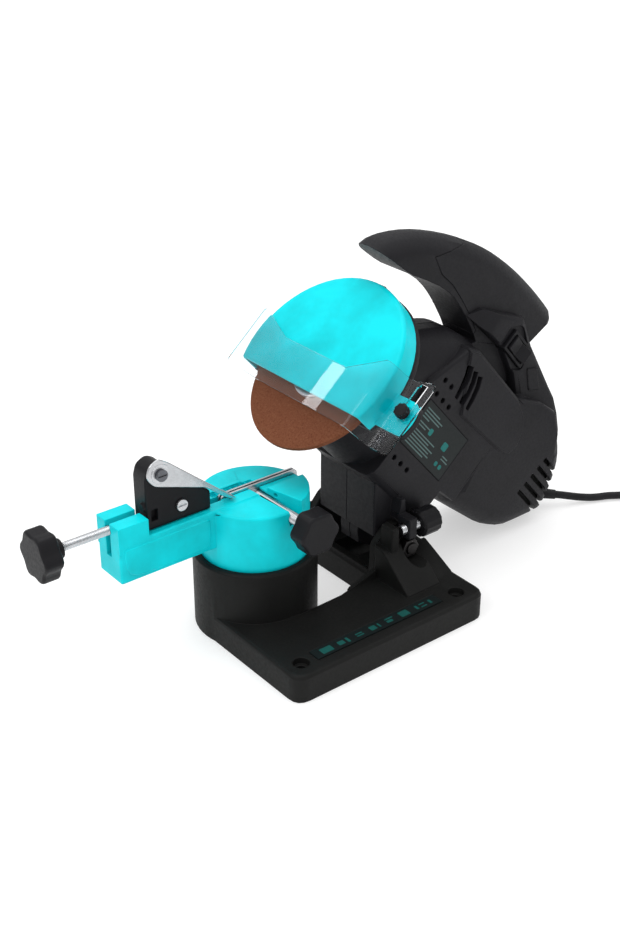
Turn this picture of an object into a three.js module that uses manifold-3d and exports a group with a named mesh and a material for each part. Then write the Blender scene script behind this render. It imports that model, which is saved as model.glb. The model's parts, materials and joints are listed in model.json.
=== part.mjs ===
// Bench-top electric chain sharpener, millimetres, +Z up.
// -Y is the operator's side, +X the right. Dimensions are from the turret axis at ground level;
// the finished part is moved back so that its origin is on the ground under the head hinge.
import * as THREE from 'three';
import { ConvexGeometry } from 'three/addons/geometries/ConvexGeometry.js';
import { mergeVertices } from 'three/addons/utils/BufferGeometryUtils.js';
import Module from 'manifold-3d';

const wasm = await Module();
wasm.setup();
const { Manifold, Mesh: ManifoldMesh } = wasm;

// ---- driving dimensions ----
const GAP = 0.3;                          // air between neighbouring pieces
const WHEEL_CENTRE = [0, 55.9, 162.8];
const WHEEL_RADIUS = 54;
const WHEEL_HALF = 1.6;
const HEAD_PITCH = 48.7;                  // motor axis below the horizontal, degrees
const HINGE = { y: 98, z: 39 };
const CUP_RADIUS = 42.3;
const CUP_TOP = 57;
const PLATE_TOP = 20;
const TURRET_RADIUS = 37.1;
const TURRET_TOP = 97;
const BLOCK_TOP = 100;
const SLOT = { left: -7.8, right: -2.5 };   // chain slot across the turret
const FEED = { x: -5, z: 104 };
const CLAMP = { y: 5, z: 91 };
const STOP = { x: 45.2, z: 54 };
const BODY_HALF = 34.5;
const GRIP_HALF = 25;
const NECK_HALF = 16.5;
const WALL = 3;
const GUARD = { radius: 64.8, lift: 7.4, floor: -14.5, front: -13, back: 3 };
const SHELL_SPLIT = 0.15;                 // half the air between the housing halves

// ---- solids from three.js geometry ----
function solid(geometry) {
  const bare = geometry.clone();
  bare.deleteAttribute('normal');
  bare.deleteAttribute('uv');
  const welded = mergeVertices(bare, 1e-4);
  const corners = welded.index.array;
  const faces = [];
  for (let i = 0; i < corners.length; i += 3) {
    const face = [corners[i], corners[i + 1], corners[i + 2]];
    if (new Set(face).size === 3) faces.push(...face);
  }
  return new Manifold(new ManifoldMesh({
    numProp: 3,
    vertProperties: new Float32Array(welded.attributes.position.array),
    triVerts: new Uint32Array(faces),
  }));
}

const join = (...bodies) => bodies.reduce((sum, body) => sum.add(body));
const cut = (body, ...tools) => tools.reduce((rest, tool) => rest.subtract(tool), body);

function box(x0, x1, y0, y1, z0, z1) {
  const block = new THREE.BoxGeometry(x1 - x0, y1 - y0, z1 - z0);
  return solid(block.translate((x0 + x1) / 2, (y0 + y1) / 2, (z0 + z1) / 2));
}

function rod(radius, from, to, sides = 24, endRadius = radius) {
  const start = new THREE.Vector3(...from);
  const axis = new THREE.Vector3(...to).sub(start);
  const length = axis.length();
  const turn = new THREE.Quaternion().setFromUnitVectors(new THREE.Vector3(0, 1, 0), axis.normalize());
  const bar = new THREE.CylinderGeometry(endRadius, radius, length, sides);
  bar.translate(0, length / 2, 0).applyQuaternion(turn).translate(...from);
  return solid(bar);
}

const rodX = (r, x0, x1, y, z, sides) => rod(r, [x0, y, z], [x1, y, z], sides);
const rodY = (r, y0, y1, x, z, sides) => rod(r, [x, y0, z], [x, y1, z], sides);
const rodZ = (r, z0, z1, x, y, sides) => rod(r, [x, y, z0], [x, y, z1], sides);

// Closed outline from [u, v, rounding] points; rounding is the length taken off each side.
function outline(points) {
  const shape = new THREE.Shape();
  const at = (i) => new THREE.Vector2(...points[(i + points.length) % points.length].slice(0, 2));
  points.forEach(([u, v, rounding = 0], i) => {
    const corner = at(i);
    const enter = corner.clone().add(at(i - 1).sub(corner).setLength(rounding));
    const leave = corner.clone().add(at(i + 1).sub(corner).setLength(rounding));
    if (i === 0) shape.moveTo(enter.x, enter.y);
    else shape.lineTo(enter.x, enter.y);
    if (rounding > 0) shape.quadraticCurveTo(u, v, leave.x, leave.y);
  });
  shape.closePath();
  return shape;
}

// The same outline moved inward by a wall thickness.
function inset(points, wall) {
  const count = points.length;
  const area = points.reduce((sum, [u, v], i) => {
    const [nu, nv] = points[(i + 1) % count];
    return sum + u * nv - nu * v;
  }, 0);
  const side = Math.sign(area) * wall;
  return points.map(([u, v, rounding = 0], i) => {
    const [pu, pv] = points[(i + count - 1) % count];
    const [nu, nv] = points[(i + 1) % count];
    const into = new THREE.Vector2(pv - v, u - pu).normalize();
    const out = new THREE.Vector2(v - nv, nu - u).normalize();
    const reach = side / (1 + into.dot(out));
    return [u + (into.x + out.x) * reach, v + (into.y + out.y) * reach, rounding * 0.7];
  });
}

// A corner rounding has to be larger than the bevel that runs round it.
function extrusion(points, depth, bevel, bevelDepth) {
  const bevelled = bevel > 0;
  const corners = points.map(([u, v, rounding = 0]) => [u, v, rounding > 1.6 * bevel ? rounding : 0]);
  return new THREE.ExtrudeGeometry(outline(corners), {
    depth: depth - (bevelled ? 2 * bevelDepth : 0),
    bevelEnabled: bevelled,
    bevelSize: bevel,
    bevelOffset: -bevel,
    bevelThickness: bevelDepth,
    bevelSegments: bevel > 1.5 ? 2 : 1,
    curveSegments: 4,
  }).translate(0, 0, bevelled ? bevelDepth : 0);
}

// Outline in (y, z), thickness along x.
function prismX(points, x0, x1, bevel = 0, bevelDepth = bevel) {
  const body = extrusion(points, x1 - x0, bevel, bevelDepth);
  const axes = new THREE.Matrix4().set(0, 0, 1, x0, 1, 0, 0, 0, 0, 1, 0, 0, 0, 0, 0, 1);
  return solid(body.applyMatrix4(axes));
}

// Outline in (x, z), thickness along y.
function prismY(points, y0, y1, bevel = 0, bevelDepth = bevel) {
  const body = extrusion(points, y1 - y0, bevel, bevelDepth);
  return solid(body.rotateX(Math.PI / 2).translate(0, y1, 0));
}

// Outline in (x, y), thickness along z.
function prismZ(points, z0, z1, bevel = 0, bevelDepth = bevel) {
  return solid(extrusion(points, z1 - z0, bevel, bevelDepth).translate(0, 0, z0));
}

// Convex bar along x whose (y, z) outline shrinks toward the sides, by [half width, inset] layers.
function domed(points, layers) {
  const cloud = layers.flatMap(([half, shrink]) => inset(points, shrink).flatMap(([y, z]) =>
    [new THREE.Vector3(-half, y, z), new THREE.Vector3(half, y, z)]));
  return solid(new ConvexGeometry(cloud));
}

// Turned piece: [radius, height] profile about an axis through a point.
function turned(profile, from, direction, sides = 32) {
  const points = profile.map(([radius, height]) => new THREE.Vector2(radius, height));
  const turn = new THREE.Quaternion().setFromUnitVectors(
    new THREE.Vector3(0, 1, 0), new THREE.Vector3(...direction).normalize());
  return solid(new THREE.LatheGeometry(points, sides).applyQuaternion(turn).translate(...from));
}

const hexagon = (across) => ringPoints(6, () => across / Math.sqrt(3));

function ringPoints(count, radiusAt) {
  return Array.from({ length: count }, (_, i) => {
    const angle = (2 * Math.PI * i) / count;
    return [radiusAt(angle) * Math.cos(angle), radiusAt(angle) * Math.sin(angle)];
  });
}

const lobes = (radius, depth, number, steps = 6) =>
  ringPoints(number * steps, (angle) => radius - (depth / 2) * (1 - Math.cos(number * angle)));

// Closed smooth outline through the given points.
function curved(points, count) {
  const curve = new THREE.CatmullRomCurve3(points.map(([u, v]) => new THREE.Vector3(u, v, 0)), true);
  return curve.getPoints(count).slice(0, -1).map(({ x, y }) => [x, y]);
}

// Open smooth line through the given points.
function swept(points, count) {
  const curve = new THREE.CatmullRomCurve3(points.map(([u, v]) => new THREE.Vector3(u, v, 0)));
  return curve.getPoints(count).map(({ x, y }) => [x, y]);
}

const moved = (points, du, dv) => points.map(([u, v, rounding]) => [u + du, v + dv, rounding]);

// ---- scene ----
const part = new THREE.Group();
part.name = 'chain_sharpener';

function look(colour, roughness, metalness = 0) {
  return { color: colour, roughness, metalness };
}
const BLACK = look(0x2b2b2e, 0.55);
const SATIN_BLACK = look(0x1d1d20, 0.4);
const CYAN = look(0x12c6cc, 0.45);
const STEEL = look(0xb9bcc0, 0.35, 0.9);
const DARK_STEEL = look(0x55585c, 0.45, 0.8);
const COPPER = look(0xb06a3a, 0.4, 0.9);

function place(name, body, finish, matrix = new THREE.Matrix4()) {
  const { vertProperties, triVerts } = body.getMesh();
  const geometry = new THREE.BufferGeometry();
  geometry.setAttribute('position', new THREE.BufferAttribute(vertProperties, 3));
  geometry.setIndex(new THREE.BufferAttribute(triVerts, 1));
  geometry.applyMatrix4(matrix).translate(0, -HINGE.y, 0);
  const faceted = geometry.toNonIndexed();
  faceted.computeVertexNormals();
  const mesh = new THREE.Mesh(faceted, new THREE.MeshStandardMaterial(finish));
  mesh.name = name;
  part.add(mesh);
}

// Head frame: x as in the world, y from the wheel toward the motor, z square to the motor axis.
const pitch = THREE.MathUtils.degToRad(HEAD_PITCH);
const headMatrix = new THREE.Matrix4().makeRotationX(-pitch).setPosition(...WHEEL_CENTRE);
const placeHead = (name, body, finish) => place(name, body, finish, headMatrix);

function toHead([y, z, rounding]) {
  const dy = y - WHEEL_CENTRE[1];
  const dz = z - WHEEL_CENTRE[2];
  const s = dy * Math.cos(pitch) - dz * Math.sin(pitch);
  return [s, dy * Math.sin(pitch) + dz * Math.cos(pitch), rounding];
}
const toHeadPoint = ([x, y, z]) => [x, ...toHead([y, z]).slice(0, 2)];
const hingeInHead = toHead([HINGE.y, HINGE.z]);

// ---- base ----
function makeBase() {
  const plan = [
    [0, -41.3], [99.7, -41.3, 10], [99.7, 122.2, 10], [-42, 122.2, 9], [-42, 73.5, 5],
    [33, 73.5, 3], [40, 42, 2], [41, 6], [0, 6],
  ];
  const ground = box(-60, 120, -60, 140, 0, 80);
  const plate = prismZ(plan, -4, PLATE_TOP, 2.5).intersect(ground);
  const cup = turned([[0, 0], [CUP_RADIUS, 0], [CUP_RADIUS, CUP_TOP - 1.5], [CUP_RADIUS - 1.5, CUP_TOP],
    [0, CUP_TOP]], [0, 0, 0], [0, 0, 1], 56);
  const ribPlan = [[52, 20], [74, 27], [74, 18], [50, 18]];
  const rib = prismX(ribPlan, 37, 40.5);
  const earSide = [[74, 15], [75.5, 43], [84, 53, 3], [91, 56.2, 3], [98, 55, 4], [106, 46, 3],
    [122, 30, 1], [122, 15]];
  const ears = join(prismX(earSide, 30.6, 37.6, 0.8), prismX(earSide, -37.6, -30.6, 0.8));
  const tower = prismX([[74, 15], [74.5, 22], [122, 22], [122, 15]], -31, 31);
  const frontGusset = prismY([[37, 18], [37, 45], [46, 44.5, 3], [73, 21], [73, 18]], 74.3, 104, 0.8);
  const backGusset = prismY([[37, 18], [37, 34], [46, 30, 3], [66, 20], [66, 18]], 102, 122, 0.8);
  const leftGusset = prismY([[-37, 18], [-37, 46], [-39, 44], [-42, 22], [-42, 18]], 74.3, 122);
  const boltPads = join(rodX(9, 37, 40, HINGE.y, HINGE.z), rodX(9, -40, -37, HINGE.y, HINGE.z));
  const stopTab = prismX([[78, 18], [80, 60, 2], [86, 60, 2], [87, 18]], 37, 49.5, 0.8);
  const body = join(plate, cup, rib, ears, tower, frontGusset, backGusset, leftGusset, boltPads, stopTab);
  const well = box(-13, 12, 80, 118, 14, 60);
  const bore = rodZ(TURRET_RADIUS + 0.5, 14.7, 80, 0, 0, 56);
  const pivotHole = rodZ(4.4, -1, 20, 0, 0);
  const nutRecess = rodZ(21, -1, 11, 0, 0, 40);
  const hingeHole = rodX(4.4, -60, 60, HINGE.y, HINGE.z);
  const boltRoom = join(rodX(9.5, -60, -40.3, HINGE.y, HINGE.z), rodX(8.8, 40.1, 80, HINGE.y, HINGE.z));
  const boltHoles = [[86, -28], [87.5, 105]].map(([x, y]) =>
    join(rodZ(3.4, -1, 30, x, y), rodZ(5.6, 15.5, 30, x, y)));
  const underside = [
    box(48, 76, -20, 62, -1, 15), box(-30, -2, 84, 112, -1, 11), box(16, 70, 84, 112, -1, 15),
    box(76, 94, -12, 62, -1, 15),
  ];
  const labelSeat = box(79.4, 90.6, -17.6, 90.6, 19.4, 30);
  return cut(body, well, bore, pivotHole, nutRecess, hingeHole, boltRoom, ...boltHoles, ...underside,
    labelSeat);
}
place('base', makeBase(), BLACK);
place('base_label', box(80, 90, -17, 90, 19.75, 20.15), look(0x0f4a48, 0.5));

// ---- turret and its arm, one casting ----
function makeTurret() {
  const drum = turned([[0, 15], [TURRET_RADIUS, 15], [TURRET_RADIUS, TURRET_TOP - 1.2],
    [TURRET_RADIUS - 1.2, TURRET_TOP], [0, TURRET_TOP]], [0, 0, 0], [0, 0, 1], 56);
  const raised = prismZ([[6, 6.4], [60, 19.4], [60, 60], [6, 60]], 80, BLOCK_TOP)
    .intersect(rodZ(TURRET_RADIUS - 0.3, 80, BLOCK_TOP + 1, 0, 0, 56));
  const armSide = [[-108, 70, 2], [-108, 98, 1], [0, 98], [0, 70]];
  const arm = prismX(armSide, -18, 8, 1);
  const uprights = box(-18, 8, -108, -86, 90, 110);
  const armPanel = prismX([[-105, 94.5, 3], [-105, 73, 14], [-41, 73, 5], [-41, 94.5, 3]], 7, 9.2, 0.6);
  const hollow = cut(rodZ(31, 10, 60, 0, 0, 48), rodZ(9, 10, 60, 0, 0));
  const slot = box(SLOT.left, SLOT.right, -120, 41, 86, 120);
  const channel = prismZ([[SLOT.right - 1, -1.8], [60, 3.8], [60, 19.4], [6, 6.4], [SLOT.right - 1, 6.4]],
    86.6, 120);
  const rackBed = box(-14.5, -8.6, -27, 8, 94, 120);
  const rack = Array.from({ length: 8 }, (_, i) => {
    const y = -25.5 + 4 * i;
    return prismX([[y, 93.5], [y, 97], [y + 2.8, 93.5]], -14.8, -8.4);
  });
  const shelf = box(-12.4, 4, -85.7, -24.7, 97.6, 120);
  const feedHole = rodY(3.4, -120, -80, FEED.x, FEED.z);
  const clampHole = rodX(4.4, SLOT.right - 1, 60, CLAMP.y, CLAMP.z);
  const pinHole = rodY(1.6, 0, 20, 13, 96.4, 12);
  const pivotHole = rodZ(4.3, 10, 46, 0, 0);
  const body = cut(join(drum, arm, uprights, armPanel, raised), hollow, slot, channel, rackBed, shelf,
    feedHole, clampHole, pinHole, pivotHole);
  return join(body, ...rack);
}
place('turret', makeTurret(), CYAN);
place('turret_pivot_bolt', rodZ(4, 1.2, 45.5, 0, 0), STEEL);
const lockNut = cut(prismZ(lobes(17, 3, 8), 1.2, 9.5, 0.8), rodZ(4.3, 0, 12, 0, 0));
place('turret_lock_nut', lockNut, SATIN_BLACK);

const plateSide = [[-24, 86.4], [-24, 99.6, 3], [38.4, 99.6, 3], [38.4, 86.4]];
place('vise_plate_left', prismX(plateSide, -7.4, -5.9), STEEL);
place('vise_plate_right', prismX(plateSide, -4.4, -2.9), STEEL);
place('clamp_screw', rodX(4, SLOT.right - 0.1, 60, CLAMP.y, CLAMP.z), STEEL);
const clampKnob = prismX(moved(lobes(15.3, 1.9, 6), CLAMP.y, CLAMP.z), 51, 65, 1.6);
place('clamp_knob', cut(clampKnob, rodX(4.3, 50, 60.3, CLAMP.y, CLAMP.z)), SATIN_BLACK);

// ---- carriage, pawl and feed ----
function makeCarriage() {
  const side = [[-84, 98, 1], [-84, 133], [-82, 140, 3], [-75, 143.5, 3], [-68, 140, 3], [-65, 131, 3],
    [-50, 121, 3], [-36, 111, 2], [-36, 98]];
  const block = prismX(side, -12, 3, 1);
  const tongue = box(SLOT.left + 0.4, SLOT.right - 0.4, -80, -46, 90, 100);
  const notch = prismX([[-81, 104], [-81, 112], [-76, 112], [-76, 104]], -1, 5);
  const window = prismX([[-66, 106, 2], [-66, 120, 3], [-44, 108, 2], [-44, 104, 2]], -13, -4);
  const feedSocket = rodY(3.3, -90, -75.7, FEED.x, FEED.z);
  const screwHole = rodX(2.3, -6, 10, -59, 109, 16);
  const pivotHole = rodX(2.3, -6, 10, -74, 136, 16);
  const boss = rodY(3, -85.8, -82, -1, 114, 20);
  return cut(join(block, tongue, boss), notch, window, feedSocket, screwHole, pivotHole);
}
place('carriage', makeCarriage(), SATIN_BLACK);
function makePawl() {
  const side = [[-84, 136, 3], [-81.5, 143.5, 3], [-74.8, 147, 3], [-67.5, 142.2, 2], [-21.4, 103.4, 1],
    [-17.5, 100.2], [-22, 101], [-30, 106.2, 2], [-40, 115.2, 4], [-79, 128.6, 4]];
  const plate = prismX(side, 3.3, 4.9, 0.4);
  const tip = prismX([[-24, 105], [-21.4, 103.2], [-17.5, 100.2], [-22, 101]], -4, 4.6);
  const collar = rodX(6.6, 4.4, 5.5, -74, 136.4);
  return cut(join(plate, tip, collar), rodX(2.6, 2, 7, -74, 136, 16));
}
place('pawl', makePawl(), STEEL);
const panScrew = (y, z, head) =>
  join(rodX(2, -5.5, head, y, z, 16), cut(rodX(4, head, head + 2, y, z, 20),
    box(head + 1, head + 3, y - 3, y + 3, z - 0.5, z + 0.5)));
place('pawl_screw', panScrew(-74, 136, 5.8), STEEL);
place('guide_screw', panScrew(-59, 109, 3.3), STEEL);
place('feed_screw', rodY(3, -154, -76, FEED.x, FEED.z), STEEL);
const feedKnob = prismY(moved(lobes(17.3, 2.6, 6), FEED.x, FEED.z), -160, -147, 1.8);
const feedHub = rodY(6.5, -148, -141, FEED.x, FEED.z);
place('feed_knob', cut(join(feedKnob, feedHub), rodY(3.3, -154.3, -130, FEED.x, FEED.z)), SATIN_BLACK);

// ---- head housing, outlines in (s, r) of the head frame ----
const BARREL = [[-34.5, 20], [-34.5, -32, 15], [34.5, -32, 15], [34.5, 20]];
const MAIN = [[60, 0], [51, 45], [66, 82], [75, 86], [148, 86], [148, -2], [127, -4]];
const DRUM_TOP = [[11, 0], [11, 34], [15, 49], [29, 62.5], [43.6, 75], [56, 85], [67, 90], [79, 92], [98, 92],
  [98, 0]];
const DRUM_LAYERS = [[10, 0], [17, 2], [23, 6], [28, 13], [31, 22]];
const LOBE = [[140, -3], [172, -1], [196, 1.5], [218, 10], [236, 29.5], [245, 41], [244.5, 52],
  [239, 67], [229, 83], [213, 95], [188, 100], [140, 88]];
const BULGE = [[135, 40], [140, 86], [165, 98], [184, 102], [203, 93], [217, 78], [222, 60], [215, 40]];
const BAND = [[60, 100], [68, 112], [104, 131], [128, 123], [154, 118], [172, 114.5], [185, 112.3],
  [199, 107], [213, 99.5], [225, 89.5], [231, 76], [229, 62], [200, 60], [150, 70], [146, 89], [131, 97],
  [106, 104]];
const BAND_PLAN = [[-16, 56], [16, 56], [GRIP_HALF + 1, 88], [GRIP_HALF + 1, 250], [-GRIP_HALF - 1, 250],
  [-GRIP_HALF - 1, 88]];
const NECK_TOP = swept([[-38, 84], [-35, 92.5], [-20, 108.5], [-1, 122.5], [25, 137], [49, 146.5], [73, 152.5],
  [95, 156], [119, 158], [136, 158.5]], 22);
const NECK = [[-46, 170], [136.3, 170], [138, 148], [132, 118], [140, 80], [76, 82], [85, 94], [75, 97],
  ...swept([[60, 100], [46, 101.5], [33, 101], [17, 97], [-3, 89], [-14, 86.5], [-30, 84]], 9), [-46, 82]];
const NECK_ARCH = [[-42, 72], ...NECK_TOP, [150, 158], [150, 40], [30, 40]];
const LOBE_LAYERS = [[20, 0], [27, 2.5], [32, 7.5], [BODY_HALF, 14]];
const ARCH_LAYERS = [[4, 0], [10, 3], [14.5, 8], [17.5, 15]];
const SHELL_SCREWS = [[40, 55, 14], [140, 30, 26], [205, 68, 26], [100, 138, 9]];   // s, r, head depth
const PANEL = [[65, 80], [75, 84], [137, 84], [154, 80, 6], [163, 72, 5], [168, 60, 4.5], [165, 51, 4.5],
  [154, 48, 5], [96, 44]];
const LOUVRE = [[72, 72], [76, 66], [79, 58], [81, 50], [84.6, 50], [83.4, 58], [80.6, 67], [76.4, 74]];
const RECESS = [[99, 101, 3], [96, 118, 4], [107, 127, 5], [128, 118, 5], [134, 104, 4], [124, 98, 3]];
const PLAQUE = [[137, 108, 2], [146, 115, 2], [163, 105.5, 2], [153, 98.5, 2]];
const ARM = [[80, 46], [80, 88], [95, 100], [125, 70], [118, 46]].map(toHead);
const STEM = [[84, 47], [84, 30], [112, 30], [113, 47]].map(toHead);

// The housing's outer form, or with a wall thickness its inner one.
function shell(wall) {
  const drum = rod(32 - wall, [0, 8 + 4 * wall, 0], [0, 70, 0], 40);
  const barrel = prismY(inset(BARREL, wall), 60 + wall, 127 - wall);
  const main = prismX(inset(MAIN, wall), -BODY_HALF + wall, BODY_HALF - wall, wall ? 0 : 2.5);
  const thinned = (layers) => layers.map(([half, shrink]) => [half - wall, shrink + wall]);
  const drumTop = domed(DRUM_TOP, thinned(DRUM_LAYERS));
  const lobe = domed(curved(LOBE, 30), thinned(LOBE_LAYERS));
  const bulge = prismX(inset(BULGE, wall), -BODY_HALF + wall, BODY_HALF - wall, wall ? 0 : 3);
  const band = prismX(inset(BAND, wall), -GRIP_HALF + wall, GRIP_HALF - wall, wall ? 0 : 4)
    .intersect(prismZ(inset(BAND_PLAN, wall), 40, 140));
  const arch = domed(NECK_ARCH, thinned(ARCH_LAYERS));
  const neck = prismX(inset(NECK, wall), -NECK_HALF + wall, NECK_HALF - wall).intersect(arch);
  return join(drum, drumTop, barrel, main, lobe, bulge, band, neck);
}

function makeHousing() {
  const arm = join(prismX(ARM, -30, 30, 1),
    prismX(STEM, -10, 9), rodX(15, -10, 9, ...hingeInHead, 40));
  const sidePanels = join(prismX(PANEL, -35.5, 35.5), prismX(inset(PANEL, 1), -36.4, 36.4));
  const lug = prismX([[93.6, 48], [93.6, 63.4], [100.6, 63.4], [100.6, 48]].map(toHead), 38.6, 51.4, 0.6);
  const lugBridge = prismX([[94.2, 58.4], [94.2, 63], [100, 63], [100, 58.4]].map(toHead), 27, 40);
  const lugRib = prismX([[94.2, 62], [96, 74], [99, 74], [100, 62]].map(toHead), 27, 40);
  const outer = join(shell(0), arm, sidePanels, lug, lugBridge, lugRib);
  // motor seats left standing inside
  const rearSeat = cut(box(-33, 33, 110, 120.5, -30, 40), rod(9.8, [0, 111.5, 0], [0, 130, 0]),
    rod(6, [0, 100, 0], [0, 130, 0]));
  const screwPosts = SHELL_SCREWS.map(([s, r]) => rodX(4.2, -40, 40, s, r, 8));
  const cavity = cut(shell(WALL), rearSeat, ...screwPosts);
  const screwHoles = SHELL_SCREWS.map(([s, r, head]) =>
    join(rodX(2.1, -60, 10, s, r, 8), rodX(3.6, -60, GAP - head, s, r, 12)));
  const hinge = rodX(4.4, -60, 60, ...hingeInHead);
  const frontSeat = join(rod(11.3, [0, 12.6, 0], [0, 24, 0]), rod(9, [0, 0, 0], [0, 13, 0]));
  const stopHole = rod(4.3, [STOP.x, ...toHead([90, STOP.z])], [STOP.x, ...toHead([115, STOP.z])]);
  const vents = [[67, -10], [76, -10], [85, -10], [64, 42], [73, 42], [82, 42], [63, 53], [72, 53]]
    .map(([s, r]) => rodX(2.1, -40, 40, s, r, 8));
  const grille = [0, 7, 14].map((ds) => prismX(moved(LOUVRE, ds, 0), -40, 40));
  const gills = [39, 47, 55, 63, 71].flatMap((r) =>
    [box(9, 60, 199 + r / 10, 260, r - 1.8, r + 1.8), box(-60, -9, 199 + r / 10, 260, r - 1.8, r + 1.8)]);
  const switchRecess = prismX(RECESS, GRIP_HALF - 2.2, 40);
  const switchHole = box(14, 30, 103, 131, 103.6, 120.4);
  const plaque = prismX(PLAQUE, GRIP_HALF - 3, GRIP_HALF + 0.9, 0.5);
  const labelSeat = box(34.0, 36, 61.4, 119.6, 0.4, 36.6);
  const reliefHole = rod(5.3, toHeadPoint([1, 245.1, 13.6]), toHeadPoint([22.2, 275.4, 8.8]));
  const body = cut(outer, cavity, hinge, frontSeat, stopHole, reliefHole, ...screwHoles, ...vents,
    ...grille, ...gills, switchRecess, switchHole, labelSeat);
  return join(body, plaque);
}

const housing = makeHousing();
const COVER_ZONE = [[-60, 60], [-60, 150], [26, 150], [26, 136], [3, 109], [18, 105], [33, 106.5],
  [48, 105], [64, 102.5], [78, 99], [78, 90], [30, 84]];
const grown = inset(COVER_ZONE, -GAP);
const coverZone = prismX(COVER_ZONE, -17, 17);
const grownZone = prismX(grown, -17 - GAP, 17 + GAP);
const largestPiece = (body) => body.decompose().sort((a, b) => b.volume() - a.volume())[0];
const leftHalf = box(-60, -SHELL_SPLIT, -60, 300, -160, 200);
const rightHalf = box(SHELL_SPLIT, 60, -60, 300, -160, 200);
const shells = cut(housing, grownZone);
placeHead('housing_left', largestPiece(shells.intersect(leftHalf)), BLACK);
placeHead('housing_right', largestPiece(shells.intersect(rightHalf)), BLACK);
placeHead('handle_cover', largestPiece(housing.intersect(coverZone)), BLACK);
SHELL_SCREWS.forEach(([s, r, head], i) => {
  const screw = join(rodX(1.6, -head, 9, s, r, 8), rodX(3, -head - 2, -head, s, r, 12));
  placeHead(`housing_screw_${i + 1}`, screw, DARK_STEEL);
});
placeHead('motor_label', box(34.2, 34.6, 62, 119, 1, 36), look(0x1b4746, 0.5));

// ---- motor and spindle ----
const onAxis = (profile, sides) => turned(profile, [0, 0, 0], [0, 1, 0], sides);
function ring(inner, outer, s0, s1, sides = 32) {
  return onAxis([[inner, s0], [outer, s0], [outer, s1], [inner, s1], [inner, s0]], sides);
}
placeHead('rotor_shaft', onAxis([[0, -10.1], [3.5, -10.1], [4, -9.6], [4, 119], [0, 119]], 24), STEEL);
placeHead('fan', fanWheel(), look(0x333338, 0.6));
placeHead('armature', ring(4.3, 16, 45, 85), DARK_STEEL);
placeHead('commutator', ring(4.3, 11, 92, 106), COPPER);
placeHead('bearing_front', ring(4.3, 11, 13, 20), STEEL);
placeHead('bearing_rear', ring(4.3, 9.5, 112, 119), STEEL);
placeHead('stator', ring(17, 27.5, 46, 84), DARK_STEEL);
placeHead('brush_left', box(-29, -11.4, 95, 103, -3.5, 3.5), look(0x3a3a3c, 0.7));
placeHead('brush_right', box(11.4, 29, 95, 103, -3.5, 3.5), look(0x3a3a3c, 0.7));

function fanWheel() {
  const blades = Array.from({ length: 10 }, (_, i) => {
    const angle = (i * Math.PI) / 5;
    return solid(new THREE.BoxGeometry(18, 8, 1.4).translate(16, 29.5, 0).rotateY(angle));
  });
  return join(ring(4.3, 9, 25, 35, 24), ring(4.3, 25.5, 25, 26.5, 32), ...blades);
}

placeHead('wheel', ring(11.7, WHEEL_RADIUS, -WHEEL_HALF, WHEEL_HALF, 72), look(0x8c583e, 0.9));
placeHead('flange_inner', onAxis([[4.3, -1.4], [11.4, -1.4], [11.4, 1.9], [18, 1.9], [18, 4.5], [9, 6.5],
  [4.3, 6.5], [4.3, -1.4]]), STEEL);
placeHead('flange_outer', ring(4.3, 17, -4.9, -1.9), STEEL);
placeHead('wheel_nut', cut(prismY(hexagon(13), -9.8, -5.2), rod(4.3, [0, -12, 0], [0, 0, 0])), STEEL);

// ---- guard, shield ----
const guardArc = (radius, floor) => {
  const lean = Math.asin((floor - GUARD.lift) / radius);
  return Array.from({ length: 37 }, (_, i) => {
    const angle = lean + ((Math.PI - 2 * lean) * i) / 36;
    return [radius * Math.cos(angle), GUARD.lift + radius * Math.sin(angle)];
  });
};
const EAR = [[50, -10, 0], [86, -10, 4], [88, 4, 6], [84, 14, 4], [50, 14, 0]];
function makeGuard() {
  const disc = prismY(guardArc(GUARD.radius, GUARD.floor), GUARD.front, GUARD.back, 2.5);
  const lip = prismY(guardArc(GUARD.radius, GUARD.floor), GUARD.back - 4, GUARD.back);
  const inner = prismY(guardArc(GUARD.radius - 2.5, GUARD.floor - 12), GUARD.front + 2.5, 10);
  const ear = prismY(EAR, 0.6, GUARD.back);
  const boss = rod(5.5, [80, 0.5, 4], [80, GUARD.back, 4]);
  const clipSeat = box(-7.5, 7.5, -9, -1, 71.4, 74);
  return cut(join(cut(join(disc, lip), inner), cut(join(ear, boss), inner)), clipSeat,
    rod(2.3, [80, -5, 4], [80, 20, 4], 16));
}
placeHead('guard_cover', makeGuard(), CYAN);
placeHead('guard_clip', box(-7, 7, -8.5, -1.5, 71.7, 72.8), SATIN_BLACK);
const guardBack = join(prismY(guardArc(65.6, GUARD.floor), GUARD.back + GAP, 7.7, 0.8),
  prismY(EAR, GUARD.back + GAP, 7.7));
placeHead('guard_back', cut(guardBack, rod(19, [0, 0, 0], [0, 20, 0], 40),
  rod(2.3, [80, -5, 4], [80, 20, 4], 16)), BLACK);

// Bent clear sheet: path in (x, s) seen along r, cut to its front outline in (x, r).
function makeShield() {
  const thick = 1.6;
  const front = [[-70, -14.4], [-27, -21, 6], [64, -21, 4], [70.5, -1.3, 4], [90, -1.3]];
  const shift = [0, 0, -1.2, -0.6, 0];
  const back = front.map(([x, s, bend], i) => [x + shift[i], s + thick, bend]).reverse();
  const bent = prismZ([...front, ...back], -40, 40);
  const face = [[-70, -22, 3], [-27, -25], [64, -25], [88, -25, 4], [88, 30, 5], [68, 25], [60, 25],
    [34, 9], [-28, 9], [-70, 24, 4]];
  const slot = prismY([[76, 2, 1.9], [80, 2, 1.9], [80, 24, 1.9], [76, 24, 1.9]], -10, 10);
  const hole = prismY([[77.4, 0], [82.6, 0], [82.6, 26], [77.4, 26]], -10, 10);
  return cut(bent.intersect(prismY(face, -40, 40)), join(slot, hole));
}
placeHead('shield', makeShield(), look(0xd8e6ea, 0.08));
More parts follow.
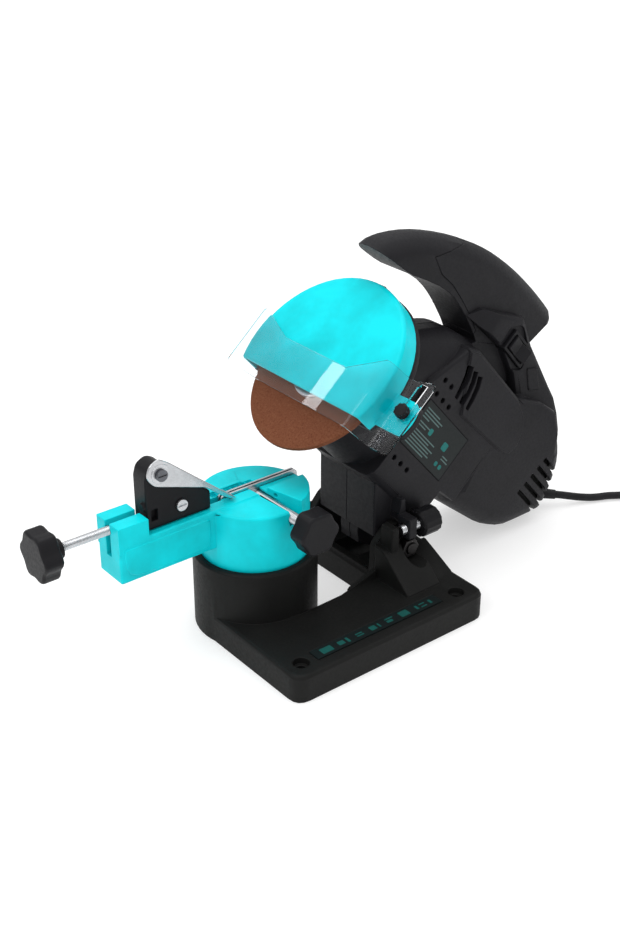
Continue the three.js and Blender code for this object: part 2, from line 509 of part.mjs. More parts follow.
const shieldKnob = join(rod(2, [80, -4, 4], [80, 7.6, 4], 16), rod(4.6, [80, -3.4, 4], [80, -1.7, 4]),
  prismY(moved(lobes(5, 0.8, 8, 4), 80, 4), -7, -3, 0.6));
placeHead('shield_knob', shieldKnob, SATIN_BLACK);

// ---- switch ----
placeHead('switch_body', cut(box(14.3, 25.6, 103.3, 130.7, 103.9, 120.1),
  box(20, 30, 105.6, 128.4, 106, 118)), SATIN_BLACK);
const rockerSide = [[106.6, 27.5], [117, 25.8], [127, 29.5], [126.6, 23.5], [117, 21], [107.2, 22.6]];
placeHead('switch_rocker', prismZ(rockerSide.map(([s, x]) => [x, s]), 106.6, 117.4, 0), SATIN_BLACK);

// ---- hinge hardware ----
place('hinge_bolt', join(rodX(4, -41, 50, HINGE.y, HINGE.z),
  prismX(moved(hexagon(13), HINGE.y, HINGE.z), -46.3, -40.6)), STEEL);
place('hinge_nut', cut(prismX(moved(hexagon(13), HINGE.y, HINGE.z), 42.3, 48.8, 0.4),
  rodX(4.3, 40, 60, HINGE.y, HINGE.z)), STEEL);
place('hinge_washer', cut(rodX(8, 40.3, 42, HINGE.y, HINGE.z, 28), rodX(4.3, 38, 46, HINGE.y, HINGE.z)),
  STEEL);

// Round-wire torsion spring on the bolt with a leg lying on the base.
function makeSpring() {
  const turns = 5.5;
  const steps = 55;
  const points = Array.from({ length: steps + 1 }, (_, i) => {
    const angle = (i / steps) * turns * 2 * Math.PI - Math.PI / 2;
    const x = 12.6 + (i / steps) * 13.6;
    return new THREE.Vector3(x, HINGE.y + 5.5 * Math.cos(angle), HINGE.z + 5.5 * Math.sin(angle));
  });
  const wire = outline(ringPoints(5, () => 0.9));
  const path = new THREE.CatmullRomCurve3(points);
  return solid(new THREE.ExtrudeGeometry(wire, { steps: 66, bevelEnabled: false, extrudePath: path }));
}
place('torsion_spring', makeSpring(), DARK_STEEL);

place('stop_screw', join(rodY(4, 90.9, 113, STOP.x, STOP.z), rod(3, [STOP.x, 90.4, STOP.z],
  [STOP.x, 92, STOP.z])), STEEL);
const stopKnob = prismY(moved(lobes(10, 0.5, 14, 3), STOP.x, STOP.z), 105.5, 122, 1.4);
place('stop_knob', cut(stopKnob, rodY(4.3, 100, 113.3, STOP.x, STOP.z)), SATIN_BLACK);

// ---- power cord ----
const CORD_RADIUS = 3;
const RELIEF_START = [4.5, 250.1, 13];
const CORD_EXIT = [22.2, 275.4, 8.8];
place('strain_relief', rod(4.9, RELIEF_START, CORD_EXIT, 20, 3.7), SATIN_BLACK);
const COIL = { x: 106.5, y: 408, mid: 35.2, half: 6.3, height: 31 };
const CORD_ROUTE = [
  [22.4, 275.7, 8.75], [25, 279.6, 8.1], [27.5, 283.6, 7.2], [30, 288, 6.1], [32.4, 292.6, 5],
  [34.8, 297.4, 4.1], [37.2, 302, 3.5], [40, 308, 3.2], [43, 314.5, 3.2], [48, 322, 3.2],
  [53, 329.5, 3.2], [58, 337.5, 3.2], [62, 346, 3.2], [64.8, 355, 3.2], [66.2, 364, 3.2],
  [66, 373, 3.2], [64.8, 382, 3.2], [63, 391, 3.2], [61.6, 399.5, 3.2], [60.9, 408, 3.2],
];
place('cord_coil', turned([
  [COIL.mid - COIL.half, 1.2], [COIL.mid - COIL.half + 1.2, 0.2], [COIL.mid + COIL.half - 1.2, 0.2],
  [COIL.mid + COIL.half, 1.2], [COIL.mid + COIL.half, COIL.height - 1.2],
  [COIL.mid + COIL.half - 1.2, COIL.height], [COIL.mid - COIL.half + 1.2, COIL.height],
  [COIL.mid - COIL.half, COIL.height - 1.2], [COIL.mid - COIL.half, 1.2],
], [COIL.x, COIL.y, 0], [0, 0, 1], 40), SATIN_BLACK);
const cordLine = new THREE.CatmullRomCurve3(CORD_ROUTE.map((point) => new THREE.Vector3(...point)));
place('power_cord', solid(new THREE.ExtrudeGeometry(outline(ringPoints(10, () => CORD_RADIUS)), {
  steps: 24, bevelEnabled: false, extrudePath: cordLine,
})), SATIN_BLACK);
function makePlug() {
  const body = prismZ([[-6, 0], [-9, 14, 3], [-9, 28, 2], [9, 28, 2], [9, 14, 3], [6, 0]], -6, 6, 2);
  const pins = join(rodY(2, 27, 46, -6, 0, 16), rodY(2, 27, 46, 6, 0, 16));
  return join(body, pins);
}
const plugMatrix = new THREE.Matrix4().makeRotationZ(Math.PI).setPosition(COIL.x + 46.5, COIL.y - 10, 6.3);
place('cord_plug', makePlug(), SATIN_BLACK, plugMatrix);

export default part;
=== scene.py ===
import json
import math

import bmesh
import bpy
from mathutils import Matrix, Vector


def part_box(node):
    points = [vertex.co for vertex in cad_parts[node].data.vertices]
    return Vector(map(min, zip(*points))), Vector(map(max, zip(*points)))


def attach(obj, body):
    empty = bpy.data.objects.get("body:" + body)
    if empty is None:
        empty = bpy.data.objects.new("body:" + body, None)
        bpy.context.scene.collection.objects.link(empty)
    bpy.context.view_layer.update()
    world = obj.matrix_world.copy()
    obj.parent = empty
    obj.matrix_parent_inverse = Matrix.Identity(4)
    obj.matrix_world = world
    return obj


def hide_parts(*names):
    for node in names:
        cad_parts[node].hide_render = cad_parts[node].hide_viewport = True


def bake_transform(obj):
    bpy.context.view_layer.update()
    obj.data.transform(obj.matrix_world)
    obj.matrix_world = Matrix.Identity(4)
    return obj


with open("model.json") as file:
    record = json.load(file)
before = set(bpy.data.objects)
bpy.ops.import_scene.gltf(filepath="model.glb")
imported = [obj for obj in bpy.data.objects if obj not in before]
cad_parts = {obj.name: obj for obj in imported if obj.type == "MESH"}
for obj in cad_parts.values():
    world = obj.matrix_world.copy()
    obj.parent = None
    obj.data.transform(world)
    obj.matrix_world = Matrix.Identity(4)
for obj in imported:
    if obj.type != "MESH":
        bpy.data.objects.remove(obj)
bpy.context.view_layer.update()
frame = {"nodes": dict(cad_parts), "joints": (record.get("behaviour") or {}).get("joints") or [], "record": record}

MM = 0.001
nodes = frame["nodes"]
joints = {joint["name"]: joint for joint in frame["joints"]}
body_of_node = {
    node: body
    for body, members in frame["record"]["behaviour"]["bodies"].items()
    for node in members
}
slot_of_node = {
    entry["node"]: entry["material_slot"] for entry in frame["record"]["subparts"]
}

# The head's own axes: along the motor shaft, square to it, and left to right.
WHEEL = Vector(joints["wheel_spin"]["pos_m"])
SHAFT = Vector(joints["wheel_spin"]["axis"]).normalized()
RIGHT = Vector((1, 0, 0))
LIFT = RIGHT.cross(SHAFT)


def head(x, s, r):
    """A point x to the right, s along the shaft and r square to it, in millimetres."""
    return WHEEL + (RIGHT * x + SHAFT * s + LIFT * r) * MM


# ---------------------------------------------------------------- camera
AZIMUTH = math.radians(51.6)
ELEVATION = math.radians(27.9)
CAMERA_PLACE = Vector((0.6506, -0.5664, 0.5403))


def make_camera():
    data = bpy.data.cameras.new("camera")
    data.lens = 53.77
    data.sensor_width = 36
    camera = bpy.data.objects.new("camera", data)
    bpy.context.scene.collection.objects.link(camera)
    back = Vector((
        math.sin(AZIMUTH) * math.cos(ELEVATION),
        -math.cos(AZIMUTH) * math.cos(ELEVATION),
        math.sin(ELEVATION),
    ))
    camera.location = CAMERA_PLACE
    camera.rotation_mode = "QUATERNION"
    camera.rotation_quaternion = (-back).to_track_quat("-Z", "Y")
    bpy.context.scene.camera = camera


make_camera()
bpy.context.scene.view_settings.view_transform = "Standard"


# ---------------------------------------------------------------- materials
class Shader:
    """A node material built up one step at a time around a Principled shader."""

    def __init__(self, name):
        self.material = bpy.data.materials.new(name)
        self.material.use_nodes = True
        self.tree = self.material.node_tree
        self.surface = self.tree.nodes["Principled BSDF"]
        coordinates = self.tree.nodes.new("ShaderNodeTexCoord")
        self.place = coordinates.outputs["Object"]

    def node(self, kind, **inputs):
        made = self.tree.nodes.new(kind)
        for key, value in inputs.items():
            socket = made.inputs[key.replace("_", " ")]
            if isinstance(value, bpy.types.NodeSocket):
                self.tree.links.new(value, socket)
            else:
                socket.default_value = value
        return made

    def stretched(self, scale):
        return self.node("ShaderNodeMapping", Vector=self.place, Scale=scale).outputs[0]

    def noise(self, scale, detail=3.0, place=None, roughness=0.55):
        return self.node(
            "ShaderNodeTexNoise", Vector=place or self.place, Scale=scale, Detail=detail,
            Roughness=roughness,
        ).outputs["Fac"]

    def spread(self, value, low, high, start=0.3, end=0.7):
        made = self.node("ShaderNodeMapRange", Value=value)
        made.inputs["From Min"].default_value = start
        made.inputs["From Max"].default_value = end
        made.inputs["To Min"].default_value = low
        made.inputs["To Max"].default_value = high
        return made.outputs[0]

    def ramp(self, value, *stops):
        made = self.node("ShaderNodeValToRGB", Fac=value)
        elements = made.color_ramp.elements
        for _ in range(len(stops) - 2):
            elements.new(0.5)
        for element, (place, colour) in zip(elements, stops):
            element.position = place
            element.color = (*colour, 1)
        return made.outputs[0]

    def mix(self, factor, first, second):
        made = self.tree.nodes.new("ShaderNodeMix")
        made.data_type = "RGBA"
        sockets = (made.inputs[0], made.inputs[6], made.inputs[7])
        for socket, value in zip(sockets, (factor, first, second)):
            if isinstance(value, bpy.types.NodeSocket):
                self.tree.links.new(value, socket)
            elif isinstance(value, (int, float)):
                socket.default_value = value
            else:
                socket.default_value = (*value, 1)
        return made.outputs[2]

    def rings(self, pitch):
        """Fine waves round the motor shaft, by distance from its axis."""
        offset = self.vector("SUBTRACT", self.place, WHEEL).outputs["Vector"]
        reach = self.vector("LENGTH", self.vector("CROSS_PRODUCT", offset, SHAFT).outputs["Vector"])
        phase = self.math("MULTIPLY", reach.outputs["Value"], 2 * math.pi / pitch)
        return self.math("SINE", phase)

    def vector(self, operation, *values):
        made = self.tree.nodes.new("ShaderNodeVectorMath")
        made.operation = operation
        for socket, value in zip(made.inputs, values):
            if isinstance(value, bpy.types.NodeSocket):
                self.tree.links.new(value, socket)
            else:
                socket.default_value = value
        return made

    def math(self, operation, *values):
        made = self.tree.nodes.new("ShaderNodeMath")
        made.operation = operation
        for socket, value in zip(made.inputs, values):
            if isinstance(value, bpy.types.NodeSocket):
                self.tree.links.new(value, socket)
            else:
                socket.default_value = value
        return made.outputs[0]

    def bump(self, height, strength, distance):
        made = self.node("ShaderNodeBump", Height=height, Strength=strength, Distance=distance)
        self.tree.links.new(made.outputs[0], self.surface.inputs["Normal"])

    def drive(self, **sockets):
        for key, value in sockets.items():
            self.tree.links.new(value, self.surface.inputs[key.replace("_", " ")])
        return self

    def set(self, **sockets):
        for key, value in sockets.items():
            self.surface.inputs[key.replace("_", " ")].default_value = value
        return self


def shade(colour, factor):
    return tuple(min(1.0, c * factor) for c in colour)


def moulded(name, colour, rough, grain, depth, worn=1.6, gloss=0.5, turned=0.0):
    """Injection-moulded plastic: fine spark grain, faint flow mottling and paler worn edges."""
    made = Shader(name)
    made.set(Specular_IOR_Level=gloss)
    mottle = made.noise(28, 4)
    body = made.ramp(mottle, (0.35, shade(colour, 0.86)), (0.65, shade(colour, 1.14)))
    edges = made.node("ShaderNodeNewGeometry").outputs["Pointiness"]
    edge = made.spread(edges, 0.0, 0.55, 0.52, 0.6)
    made.drive(
        Base_Color=made.mix(edge, body, shade(colour, worn)),
        Roughness=made.spread(made.noise(grain * 0.35, 5), rough - 0.07, rough + 0.09),
    )
    height = made.noise(grain, 2)
    if turned:
        height = made.math("MULTIPLY_ADD", made.rings(6.5 * MM), turned, height)
    made.bump(height, depth, 0.0002)
    return made.material


def metal(name, colour, rough, stretch=(40, 900, 900), dents=0.15):
    """Machined or plated steel with fine drawn lines and slight staining."""
    made = Shader(name)
    lines = made.noise(3, 4, made.stretched(stretch))
    stain = made.noise(60, 5)
    made.drive(
        Base_Color=made.ramp(stain, (0.3, shade(colour, 0.78)), (0.62, colour)),
        Roughness=made.spread(lines, rough - 0.08, rough + 0.14),
    )
    made.set(Metallic=1.0)
    made.bump(lines, dents, 0.0001)
    return made.material


def grit(name):
    """Bonded abrasive: coarse grains in a brown bond, some pale and some dark."""
    made = Shader(name)
    cells = made.node("ShaderNodeTexVoronoi", Vector=made.place, Scale=1500.0)
    bond = made.ramp(
        made.noise(900, 6, roughness=0.75),
        (0.25, (0.045, 0.014, 0.007)), (0.5, (0.150, 0.050, 0.024)), (0.78, (0.26, 0.115, 0.062)),
    )
    grain = made.spread(cells.outputs["Distance"], 0.0, 0.35, 0.1, 0.5)
    made.drive(Base_Color=made.mix(grain, bond, (0.19, 0.067, 0.033)))
    made.set(Roughness=0.93, Specular_IOR_Level=0.12)
    made.bump(made.noise(1600, 4, roughness=0.8), 0.7, 0.0004)
    return made.material


def clear(name):
    """Clear sheet with the lightest of wiping marks and a faint grey cast."""
    made = Shader(name)
    wiping = made.noise(5, 5, made.stretched((700, 40, 250)))
    made.drive(Base_Color=made.ramp(wiping, (0.3, (0.90, 0.91, 0.94)), (0.7, (0.95, 0.955, 0.97))))
    made.set(Roughness=0.0, Transmission_Weight=1.0, IOR=1.27)
    return made.material


def jacket(name):
    """Cord jacket: soft black with a faint extrusion grain."""
    made = Shader(name)
    grain = made.noise(900, 3)
    made.drive(
        Base_Color=made.ramp(
            made.noise(90, 4), (0.3, (0.006, 0.006, 0.007)), (0.7, (0.013, 0.013, 0.0145))),
        Roughness=made.spread(grain, 0.46, 0.64),
    )
    made.set(Specular_IOR_Level=0.2)
    made.bump(grain, 0.15, 0.0002)
    return made.material


BODY_BLACK = (0.0105, 0.0102, 0.0122)
BASE_BLACK = (0.0088, 0.0089, 0.0086)
KNOB_BLACK = (0.009, 0.0088, 0.0102)
CYAN = (0.0, 0.60, 0.665)
STEEL = (0.62, 0.63, 0.65)
finishes = {
    "black_plastic": moulded("black_plastic", BODY_BLACK, 0.52, 1500, 0.3, gloss=0.16),
    "knob_plastic": moulded("knob_plastic", KNOB_BLACK, 0.42, 1900, 0.16, gloss=0.13),
    "cyan_plastic": moulded("cyan_plastic", CYAN, 0.42, 1700, 0.12, worn=1.12, gloss=0.14),
    "bright_steel": metal("bright_steel", STEEL, 0.28),
    "dark_steel": metal("dark_steel", (0.16, 0.165, 0.18), 0.38),
    "copper": metal("copper", (0.72, 0.33, 0.17), 0.3),
    "abrasive": grit("abrasive"),
    "clear_sheet": clear("clear_sheet"),
    "label_film": moulded("label_film", (0.004, 0.0075, 0.0078), 0.45, 2600, 0.05, worn=1.1, gloss=0.2),
    "carbon": moulded("carbon", (0.03, 0.03, 0.032), 0.65, 2400, 0.3),
    "cord_rubber": jacket("cord_rubber"),
}
base_black = moulded("base_black", BASE_BLACK, 0.5, 1400, 0.25, gloss=0.1)
blackened = metal("blackened", (0.045, 0.043, 0.043), 0.42)
guard_cyan = moulded("guard_cyan", CYAN, 0.4, 1700, 0.14, worn=1.12, gloss=0.14, turned=0.8)
teal_ink = moulded("teal_ink", (0.006, 0.15, 0.14), 0.5, 2600, 0.04, worn=1.05, gloss=0.2)
dim_ink = moulded("dim_ink", (0.006, 0.075, 0.066), 0.5, 2600, 0.04, worn=1.05, gloss=0.2)
grey_ink = moulded("grey_ink", (0.085, 0.145, 0.14), 0.5, 2600, 0.04, worn=1.05, gloss=0.2)


# ---------------------------------------------------------------- mesh helpers
def piece(name, mesh, node=None, body=None, finish=None, slot=None):
    """A new piece that stands for a CAD node, or rides on a body beside it."""
    made = bpy.data.objects.new(name, mesh)
    bpy.context.scene.collection.objects.link(made)
    if node:
        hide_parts(node)
        body = body or body_of_node[node]
        slot = slot or slot_of_node[node]
    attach(made, body)
    mesh.materials.clear()
    mesh.materials.append(finish or finishes[slot])
    return made


def smooth(mesh, angle):
    mesh.shade_smooth()
    mesh.set_sharp_from_angle(angle=math.radians(angle))


def refine(node, edge=0.35, segments=2, angle=31, finish=None):
    """The CAD node's own shape with its faces merged and its edges rounded over."""
    mesh = nodes[node].data.copy()
    work = bmesh.new()
    work.from_mesh(mesh)
    bmesh.ops.remove_doubles(work, verts=work.verts, dist=0.02 * MM)
    bmesh.ops.dissolve_limit(
        work, angle_limit=math.radians(0.6), verts=work.verts, edges=work.edges)
    bmesh.ops.triangulate(
        work, faces=[face for face in work.faces if len(face.verts) > 4],
        quad_method="BEAUTY", ngon_method="BEAUTY")
    work.to_mesh(mesh)
    work.free()
    smooth(mesh, angle)
    made = piece(node + "_look", mesh, node=node, finish=finish)
    if edge:
        rounding = made.modifiers.new("rounding", "BEVEL")
        rounding.width = edge * MM
        rounding.segments = segments
        rounding.limit_method = "ANGLE"
        rounding.angle_limit = math.radians(angle)
        rounding.use_clamp_overlap = False
        rounding.miter_outer = "MITER_ARC"
        weighting = made.modifiers.new("weighting", "WEIGHTED_NORMAL")
        weighting.keep_sharp = True
    return made


def mesh_of(name, points, faces, angle=40):
    mesh = bpy.data.meshes.new(name)
    mesh.from_pydata([tuple(p) for p in points], [], faces)
    work = bmesh.new()
    work.from_mesh(mesh)
    bmesh.ops.recalc_face_normals(work, faces=work.faces)
    work.to_mesh(mesh)
    work.free()
    smooth(mesh, angle)
    return mesh


def square_to(axis):
    side = axis.orthogonal().normalized()
    return side, axis.cross(side)


def threaded(name, start, end, radius, pitch, sides=20):
    """A rod with a rounded helical thread cut into it and plain chamfered ends; lengths in metres."""
    axis = (end - start).normalized()
    side, up = square_to(axis)
    length = (end - start).length
    rings = int(length / pitch * 5) + 1
    depth = 0.09 * radius + 0.15 * pitch
    points = []
    for i in range(rings + 1):
        along = length * i / rings
        fade = min(1, along / pitch, (length - along) / pitch)
        for k in range(sides):
            turn = 2 * math.pi * k / sides
            wave = 0.5 - 0.5 * math.cos(2 * math.pi * along / pitch - turn)
            reach = radius - depth * (1 - fade) - depth * wave * fade
            points.append(start + axis * along + (side * math.cos(turn) + up * math.sin(turn)) * reach)
    faces = [
        (i * sides + k, i * sides + (k + 1) % sides,
         (i + 1) * sides + (k + 1) % sides, (i + 1) * sides + k)
        for i in range(rings) for k in range(sides)
    ]
    faces.append(tuple(range(sides)))
    faces.append(tuple(rings * sides + k for k in range(sides)))
    return mesh_of(name, points, faces, 60)


def prism_faces(count):
    """The two ends and the sides of a prism whose ends have count corners each."""
    sides = [(i, (i + 1) % count, count + (i + 1) % count, count + i) for i in range(count)]
    return [tuple(range(count)), tuple(range(count, 2 * count))] + sides


def slab(name, corner, along, across, thickness, normal, round_by=0.0):
    """A thin plate from one corner, for print and strips."""
    u, v = along.normalized(), across.normalized()
    wide, tall = along.length, across.length
    outline = []
    steps = 4 if round_by else 1
    for cx, cy, first in ((wide, tall, 0), (0, tall, 90), (0, 0, 180), (wide, 0, 270)):
        centre = Vector((abs(cx - round_by), abs(cy - round_by)))
        for i in range(steps):
            turn = math.radians(first + 90 * (i / max(1, steps - 1)))
            outline.append(centre + Vector((math.cos(turn), math.sin(turn))) * round_by)
    base = [corner + u * p.x + v * p.y for p in outline]
    top = [p + normal * thickness for p in base]
    return mesh_of(name, base + top, prism_faces(len(base)), 30)


def joined(name, meshes):
    """One mesh from several."""
    work = bmesh.new()
    for mesh in meshes:
        work.from_mesh(mesh)
    made = bpy.data.meshes.new(name)
    work.to_mesh(made)
    work.free()
    return made


# ---------------------------------------------------------------- cord
# The route's points and the coil's sizes are in millimetres.
CORD_DIAMETER = 6.0 * MM
CORD_ROUTE = [
    (22.4, 177.7, 8.75), (25, 181.6, 8.1), (27.5, 185.6, 7.2), (30, 190, 6.1), (32.4, 194.6, 5),
    (34.8, 199.4, 4.1), (37.2, 204, 3.5), (40, 210, 3.2), (43, 216.5, 3.2), (48, 224, 3.2),
    (53, 231.5, 3.2), (58, 239.5, 3.2), (62, 248, 3.2), (64.8, 257, 3.2), (66.2, 266, 3.2),
    (66, 275, 3.2), (64.8, 284, 3.2), (63, 293, 3.2), (61.6, 301.5, 3.2),
]
coil_low, coil_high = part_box("cord_coil")
COIL = (coil_low + coil_high) / 2 / MM
LYING = 3.2         # height of the cord's middle where it lies on the floor
LAYER = 6.15        # rise from one turn to the turn above it
OUTER_TURN, INNER_TURN = 38.4, 32.1
APPROACH = COIL.x - CORD_ROUTE[-1][0] - 0.2
STEPS_IN_TURN = 24


def coil_points():
    """Clockwise turns: in along the floor, up the inner column, down the outer one and off."""
    stages = [          # turns, end radius, end height
        (0.12, OUTER_TURN + 2.6, LYING), (0.13, OUTER_TURN - 0.1, LYING),
        (0.37, OUTER_TURN - 2, LYING), (0.38, INNER_TURN, LYING),
        (3.6, INNER_TURN, LYING + 3.6 * LAYER), (0.4, OUTER_TURN, LYING + 3.9 * LAYER),
        (2.36, OUTER_TURN, LYING + 1.54 * LAYER),
    ]
    radius, height, turn = APPROACH, LYING, math.pi
    points = []
    for turns, end_radius, end_height in stages:
        steps = max(4, int(turns * STEPS_IN_TURN))
        for i in range(steps):
            part = i / steps
            ease = part * part * (3 - 2 * part) if turns < 1 else part
            r = radius + (end_radius - radius) * ease
            z = height + (end_height - height) * part
            a = turn - 2 * math.pi * turns * part
            points.append((COIL.x + r * math.cos(a), COIL.y + r * math.sin(a), z))
        radius, height, turn = end_radius, end_height, turn - 2 * math.pi * turns
    return points


CORD_END = [
    (130.4, 338.6, 12.2), (138.4, 330.6, 10.8), (145.2, 322, 8.9), (149.9, 313, 7.2),
    (152.2, 306.4, 6.5), (153, 300.2, 6.3),
]
route = [Vector(p) * MM for p in CORD_ROUTE + coil_points() + CORD_END]


def through(points, parts):
    """A smooth line through the points."""
    line = []
    for i in range(len(points) - 1):
        p0, p1 = points[max(i - 1, 0)], points[i]
        p2, p3 = points[i + 1], points[min(i + 2, len(points) - 1)]
        for k in range(parts):
            t = k / parts
            line.append(0.5 * (2 * p1 + (p2 - p0) * t + (2 * p0 - 5 * p1 + 4 * p2 - p3) * t * t
                               + (3 * p1 - p0 - 3 * p2 + p3) * t ** 3))
    return line + [points[-1]]


def round_tube(name, line, diameter):
    """A closed round mesh along the line, made by way of a curve."""
    curve = bpy.data.curves.new("cord_line", "CURVE")
    curve.dimensions = "3D"
    curve.bevel_depth = diameter / 2
    curve.bevel_resolution = 3
    curve.use_fill_caps = True
    spline = curve.splines.new("POLY")
    spline.points.add(len(line) - 1)
    for point, place in zip(spline.points, line):
        point.co = (*place, 1)
    carrier = bpy.data.objects.new("cord_line", curve)
    bpy.context.scene.collection.objects.link(carrier)
    bpy.context.view_layer.update()
    mesh = bpy.data.meshes.new_from_object(carrier)
    bpy.data.objects.remove(carrier)
    mesh.name = name
    return mesh


cord_line = through(route, 3)
tube = round_tube("power_cord_look", cord_line, CORD_DIAMETER)
tube.materials.clear()
tube.materials.append(finishes["cord_rubber"])
cord = bpy.data.objects.new("power_cord_look", tube)
bpy.context.scene.collection.objects.link(cord)
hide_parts("power_cord", "cord_coil")
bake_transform(cord)
plug = refine("cord_plug", 0.6, 3)

# ---------------------------------------------------------------- CAD nodes refined
ROUNDINGS = {       # radius of each node's rounded edges, in millimetres
    "base": 0.4, "turret": 0.4, "housing_left": 0.4, "housing_right": 0.4, "handle_cover": 0.4,
    "guard_cover": 0.5, "guard_back": 0.4, "carriage": 0.4, "pawl": 0.2, "clamp_knob": 0.7,
    "feed_knob": 0.7, "stop_knob": 0.3, "shield_knob": 0.3, "turret_lock_nut": 0.5, "shield": 0.15,
    "wheel": 0.3, "switch_rocker": 0.5, "switch_body": 0.3, "hinge_nut": 0.3, "hinge_washer": 0.2,
    "hinge_bolt": 0.2, "vise_plate_left": 0.15, "vise_plate_right": 0.15, "guide_screw": 0.25,
    "pawl_screw": 0.25, "strain_relief": 0.3, "guard_clip": 0.15, "wheel_nut": 0.3,
    "flange_outer": 0.4, "flange_inner": 0.3,
}
OWN_FINISH = {
    "base": base_black, "guard_cover": guard_cyan,
    "hinge_nut": blackened, "hinge_washer": blackened, "hinge_bolt": blackened,
}
for node, edge in ROUNDINGS.items():
    refine(node, edge, finish=OWN_FINISH.get(node))
for node in nodes:
    if not nodes[node].hide_render:
        data = nodes[node].data
        data.materials.clear()
        data.materials.append(finishes[slot_of_node[node]])

# ---------------------------------------------------------------- plain printed blocks
# Places and sizes of the printed marks are in millimetres.
PRINT_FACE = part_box("motor_label")[1].x / MM
INK = 0.05          # thickness of the motor label's print


def base_print():
    low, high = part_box("base_label")
    marks = [       # along the strip from its front end, width, from its left edge, depth
        (6, 9, 2.2, 5.6), (20, 5, 3.0, 4.0), (27, 2, 2.4, 5.2), (35, 6, 3.4, 1.1),
        (35, 6, 5.6, 1.1), (47, 5, 2.8, 4.4), (54, 1.4, 2.8, 4.4), (61, 7, 2.4, 1.1),
        (61, 5, 4.6, 2.4), (73, 7.5, 2.0, 5.8), (87, 2, 3.0, 4.2), (91, 5, 3.0, 1.1),
        (91, 5, 6.1, 1.1), (99, 2, 3.0, 4.2),
    ]
    return joined("base_marks", [
        slab("mark", Vector((low.x + across * MM, low.y + along * MM, high.z)),
             Vector((deep * MM, 0, 0)), Vector((0, wide * MM, 0)), 0.06 * MM,
             Vector((0, 0, 1)), 0.5 * MM)
        for along, wide, across, deep in marks
    ])


def motor_rows():
    rows = [        # height on the label, start and end along the shaft
        (3.5, 64, 90), (5.7, 64, 95), (7.9, 64, 93), (10.1, 64, 96), (12.3, 64, 88), (14.5, 64, 94),
        (18.4, 65, 76), (20.6, 65, 80), (24.4, 65, 74), (26.6, 65, 86), (28.8, 65, 88), (31.0, 65, 82),
        (12.3, 107, 116), (14.5, 107, 114),
    ]
    return joined("motor_rows", [
        slab("row", head(PRINT_FACE, start, r), SHAFT * (end - start) * MM, LIFT * 0.85 * MM,
             INK * MM, RIGHT)
        for r, start, end in rows
    ])


def motor_blocks():
    blocks = [      # along the shaft, height on the label, length, height of the block
        (100, 17.5, 6, 6), (104, 6, 3.4, 3.4), (109.5, 6, 3.4, 3.4), (80, 18, 4, 5),
    ]
    return joined("motor_blocks", [
        slab("block", head(PRINT_FACE, s, r), SHAFT * long * MM, LIFT * tall * MM, INK * MM,
             RIGHT, 1.2 * MM)
        for s, r, long, tall in blocks
    ])


piece("base_marks", base_print(), body=body_of_node["base_label"], slot="label_film", finish=dim_ink)
piece("motor_rows", motor_rows(), body=body_of_node["motor_label"], slot="label_film", finish=grey_ink)
piece("motor_blocks", motor_blocks(), body=body_of_node["motor_label"], slot="label_film",
      finish=teal_ink)

# ---------------------------------------------------------------- inside the rear slots
def rear_lining():
    """The closed wall that shows dark behind the rear slots of the motor housing."""
    outline = [
        (199, 34), (231, 34), (238.5, 43), (238, 51), (233.5, 64), (225, 76), (213, 81), (199, 80),
    ]
    half_width = 25.5
    points = [head(x, s, r) for x in (-half_width, half_width) for s, r in outline]
    return mesh_of("rear_lining", points, prism_faces(len(outline)), 30)


piece("rear_lining", rear_lining(), body=body_of_node["housing_right"],
      slot=slot_of_node["housing_right"], finish=base_black)

# ---------------------------------------------------------------- threads
THREAD_PITCHES = {"feed_screw": 1.0, "clamp_screw": 1.25, "stop_screw": 1.25}
for node, pitch in THREAD_PITCHES.items():
    low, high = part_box(node)
    middle = (low + high) / 2
    span = high - low
    longest = max(range(3), key=lambda i: span[i])
    start, end = middle.copy(), middle.copy()
    start[longest], end[longest] = low[longest], high[longest]
    thin = min(span[i] for i in range(3) if i != longest) / 2
    piece(node + "_look", threaded(node + "_look", start, end, thin * 0.995, pitch * MM), node=node)


# ---------------------------------------------------------------- floor and light
FLOOR_REACH = 4         # metres from the middle to each side
FLOOR_DROP = 0.3 * MM   # air under the object, so that no faces coincide
HORIZON, OVERHEAD = 0.42, 1.35      # brightness of the surroundings


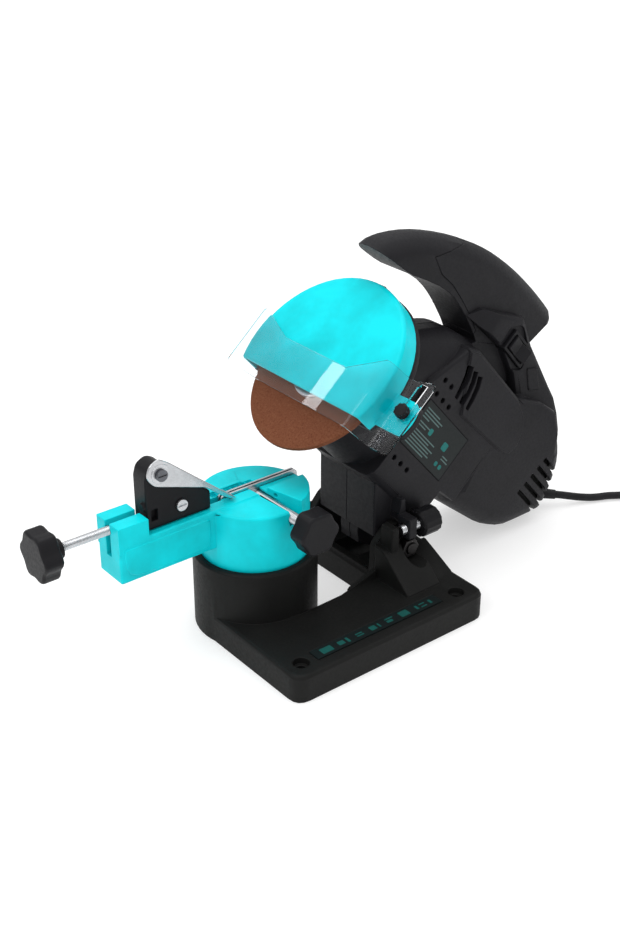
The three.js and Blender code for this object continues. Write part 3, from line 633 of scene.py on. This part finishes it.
def make_floor():
    mesh = bpy.data.meshes.new("floor")
    work = bmesh.new()
    bmesh.ops.create_grid(work, x_segments=8, y_segments=8, size=FLOOR_REACH)
    work.to_mesh(mesh)
    work.free()
    floor = bpy.data.objects.new("floor", mesh)
    floor.location.z = -FLOOR_DROP
    bpy.context.scene.collection.objects.link(floor)
    made = Shader("floor")
    made.drive(Base_Color=made.ramp(
        made.noise(2), (0.3, (0.53, 0.53, 0.53)), (0.7, (0.57, 0.57, 0.57))))
    made.set(Roughness=0.9, Emission_Color=(1, 1, 1, 1), Emission_Strength=0.5)
    mesh.materials.append(made.material)


def lamp(name, place, size, power, rotation):
    """A rectangular lamp; sizes in metres and power in watts."""
    data = bpy.data.lights.new(name, "AREA")
    data.shape = "RECTANGLE"
    data.size, data.size_y = size
    data.energy = power
    made = bpy.data.objects.new(name, data)
    made.location = place
    made.rotation_mode = "QUATERNION"
    made.rotation_quaternion = rotation
    bpy.context.scene.collection.objects.link(made)


def area_light(name, place, target, size, power):
    toward = Vector(target) - Vector(place)
    lamp(name, place, size, power, toward.to_track_quat("-Z", "Y"))


def strip_light():
    """A narrow lamp whose mirror image shows as a pale stripe down the clear shield."""
    spot = head(28, -21, -8)
    distance = 1.2
    view = (spot - CAMERA_PLACE).normalized()
    out = view - 2 * view.dot(SHAFT) * SHAFT
    up = (LIFT - LIFT.dot(out) * out).normalized()
    facing = Matrix((up.cross(out), up, out)).transposed().to_quaternion()
    lamp("strip", spot + out * distance, (0.022, 0.13), 0.085, facing)


def make_world():
    """Soft white surroundings, brighter overhead than at the horizon."""
    world = bpy.data.worlds.new("studio")
    world.use_nodes = True
    tree = world.node_tree
    place = tree.nodes.new("ShaderNodeTexCoord").outputs["Generated"]
    axes = tree.nodes.new("ShaderNodeSeparateXYZ")
    tree.links.new(place, axes.inputs[0])
    strength = tree.nodes.new("ShaderNodeMapRange")
    tree.links.new(axes.outputs["Z"], strength.inputs["Value"])
    strength.inputs["To Min"].default_value = HORIZON
    strength.inputs["To Max"].default_value = OVERHEAD
    background = tree.nodes["Background"]
    background.inputs["Color"].default_value = (1, 1, 1, 1)
    tree.links.new(strength.outputs[0], background.inputs["Strength"])
    bpy.context.scene.world = world


make_floor()
make_world()
strip_light()
area_light("key", (0.1, -1.4, 1.5), (0, 0, 0.1), (1.2, 0.9), 9)
area_light("top", (-0.3, 0.3, 1.8), (0, 0, 0.1), (1.6, 1.6), 9)
